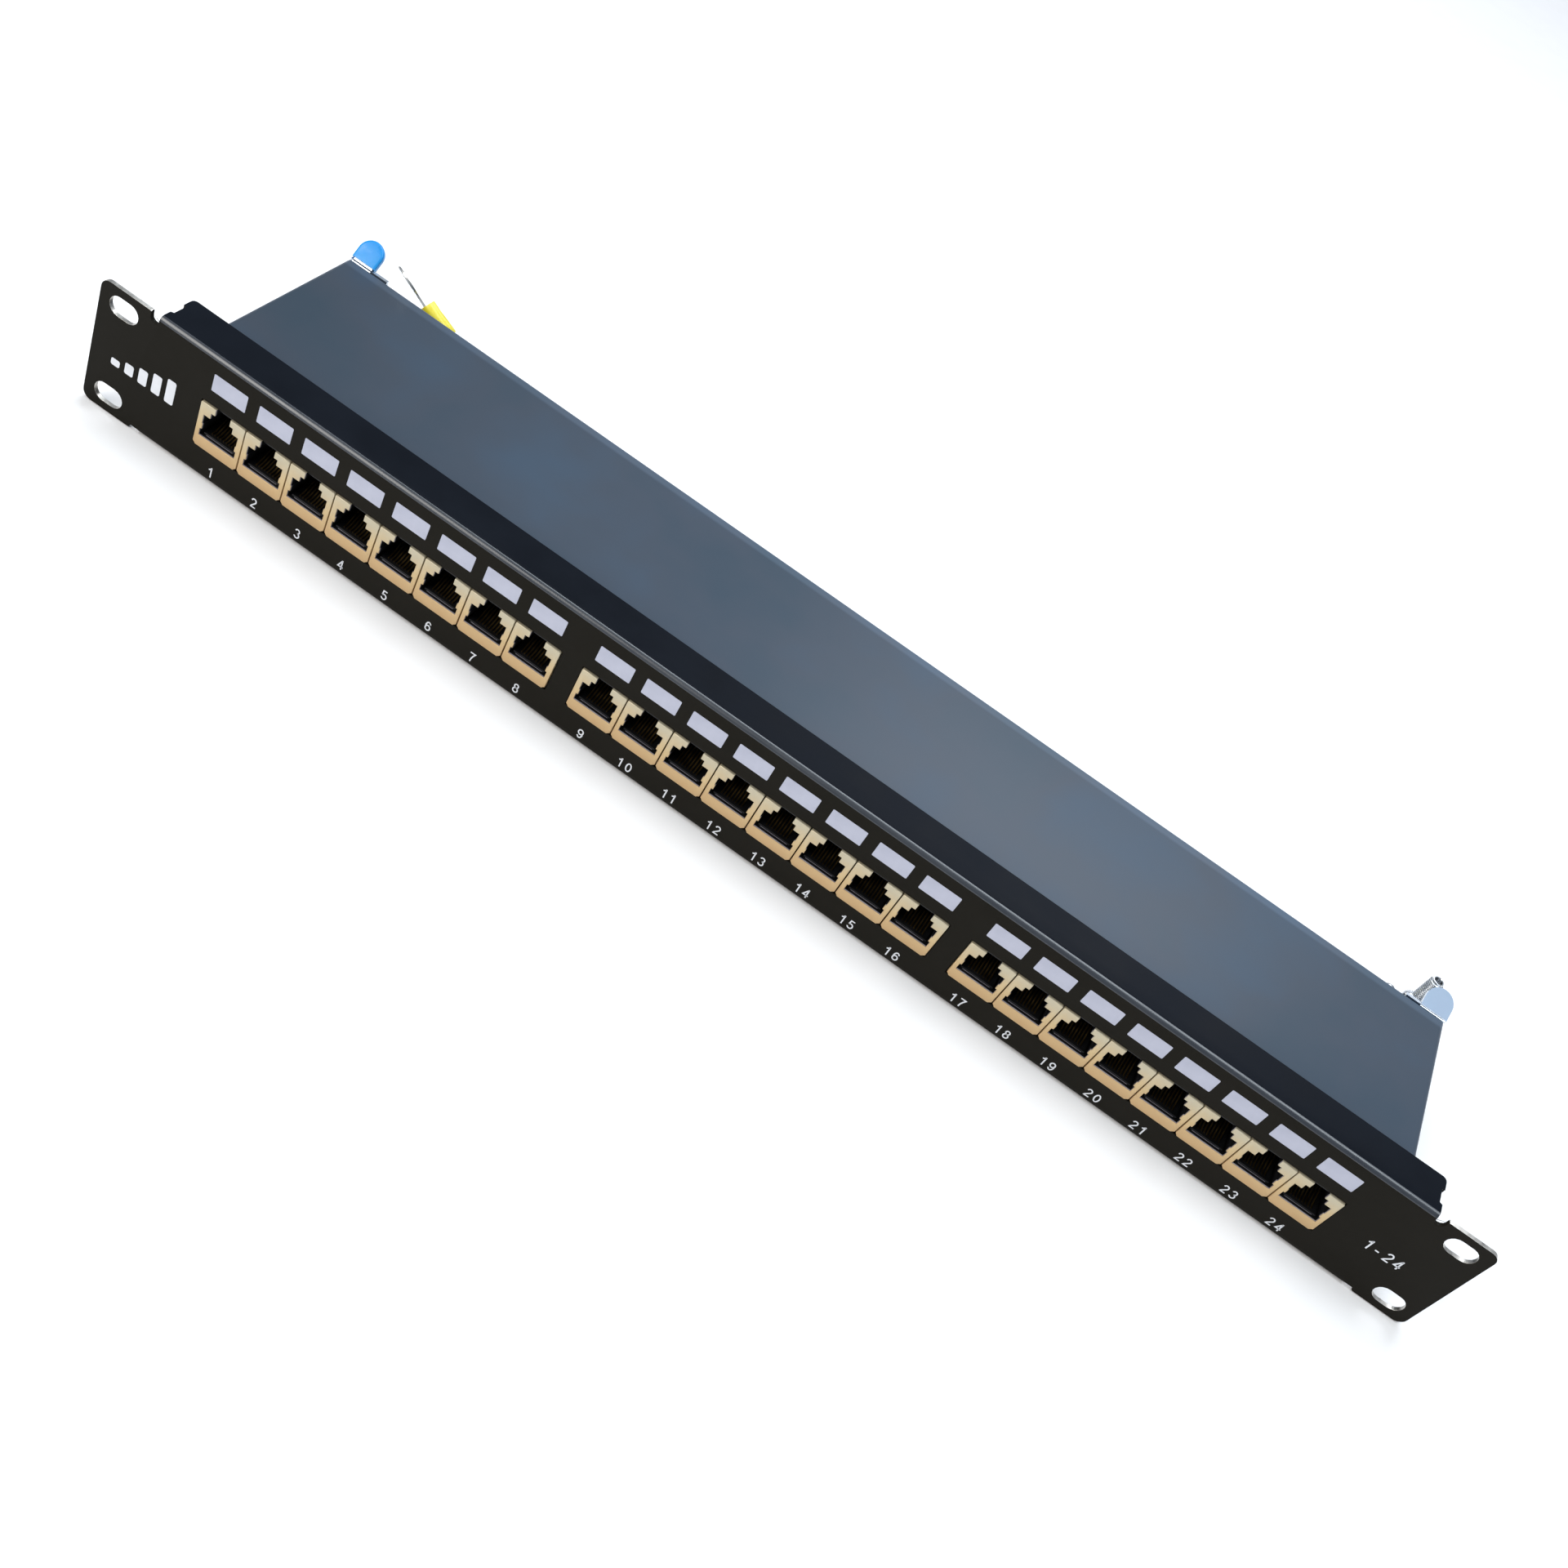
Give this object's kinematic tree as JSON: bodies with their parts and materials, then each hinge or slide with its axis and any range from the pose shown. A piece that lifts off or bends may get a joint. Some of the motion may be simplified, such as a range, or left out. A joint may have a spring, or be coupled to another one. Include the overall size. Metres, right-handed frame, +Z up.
{
  "type": "patch panel",
  "caption": "Rack-mount shielded modular-jack patch panel in three groups, with sheet-metal rear housing, lift-off cover, rear cable tray and earth lead.",
  "frame": {"origin": "middle of the bottom of the object's box, on the surface it rests on, the earth lead and its lugs left out", "axes": "+X to the right seen from the front, +Y from the front panel towards the rear, +Z up"},
  "size_m": [0.4826, 0.1186, 0.044],
  "materials": {
    "panel_paint": "satin black powder coat",
    "cover_paint": "smooth semi-gloss slate blue-grey paint",
    "jack_metal": "satin plated die-cast metal",
    "jack_plastic": "black glass-filled plastic",
    "board": "green solder mask",
    "idc_plastic": "dark grey plastic",
    "zinc": "bright zinc plate",
    "blue_cap": "soft blue vinyl",
    "yellow_sleeve": "yellow vinyl",
    "tinned_copper": "tinned copper",
    "lead_sheath": "green and yellow PVC",
    "tie_plastic": "natural nylon"
  },
  "bodies": {
    "panel": {"front_panel": "panel_paint", "jack_shell_01": "jack_metal", "jack_shell_02": "jack_metal", "jack_shell_03": "jack_metal", "jack_shell_04": "jack_metal", "jack_shell_05": "jack_metal", "jack_shell_06": "jack_metal", "jack_shell_07": "jack_metal", "jack_shell_08": "jack_metal", "jack_shell_09": "jack_metal", "jack_shell_10": "jack_metal", "jack_shell_11": "jack_metal", "jack_shell_12": "jack_metal", "jack_shell_13": "jack_metal", "jack_shell_14": "jack_metal", "jack_shell_15": "jack_metal", "jack_shell_16": "jack_metal", "jack_shell_17": "jack_metal", "jack_shell_18": "jack_metal", "jack_shell_19": "jack_metal", "jack_shell_20": "jack_metal", "jack_shell_21": "jack_metal", "jack_shell_22": "jack_metal", "jack_shell_23": "jack_metal", "jack_shell_24": "jack_metal", "contact_block_a": "jack_plastic", "circuit_board_a": "board", "idc_block_a": "idc_plastic", "contact_block_b": "jack_plastic", "circuit_board_b": "board", "idc_block_b": "idc_plastic", "contact_block_c": "jack_plastic", "circuit_board_c": "board", "idc_block_c": "idc_plastic", "chassis_base": "panel_paint", "cover_screw_left_1": "zinc", "cover_screw_left_2": "zinc", "cover_screw_right_1": "zinc", "cover_screw_right_2": "zinc", "base_rivet_1": "zinc", "base_rivet_2": "zinc", "base_rivet_3": "zinc", "base_rivet_4": "zinc"},
    "cover": {"top_cover": "cover_paint"},
    "tray": {"rear_tray": "zinc", "tab_cap": "blue_cap", "tray_screw_1": "zinc", "tray_screw_2": "zinc", "tray_screw_3": "zinc", "earth_stud": "zinc", "fixed_lug": "tinned_copper", "fixed_lug_sleeve": "yellow_sleeve", "earth_lead": "lead_sheath", "free_lug": "tinned_copper", "free_lug_sleeve": "yellow_sleeve", "lead_tie_1": "tie_plastic", "lead_tie_2": "tie_plastic", "lead_tie_3": "tie_plastic"},
    "washer": {"earth_washer": "zinc"},
    "nut": {"earth_nut": "zinc"}
  },
  "joints": [
    {"name": "cover_lift", "type": "slide", "parent": "panel", "child": "cover", "axis": [0, 0, 1], "range_m": [0, 0.08]},
    {"name": "tray_pull", "type": "slide", "parent": "panel", "child": "tray", "axis": [0, 1, 0], "range_m": [0, 0.06]},
    {"name": "nut_rise", "type": "slide", "parent": "tray", "child": "washer", "axis": [0, 0, 1], "range_m": [0, 0.008]},
    {"name": "nut_turn", "type": "hinge", "parent": "washer", "child": "nut", "pos_m": [0.2102, 0.0445, 0.0217], "axis": [0, 0, 1], "range_deg": [0, 3600]}
  ],
  "couplings": [
    {"joint": "nut_turn", "follows": "nut_rise", "rad_per_m": 7854}
  ]
}
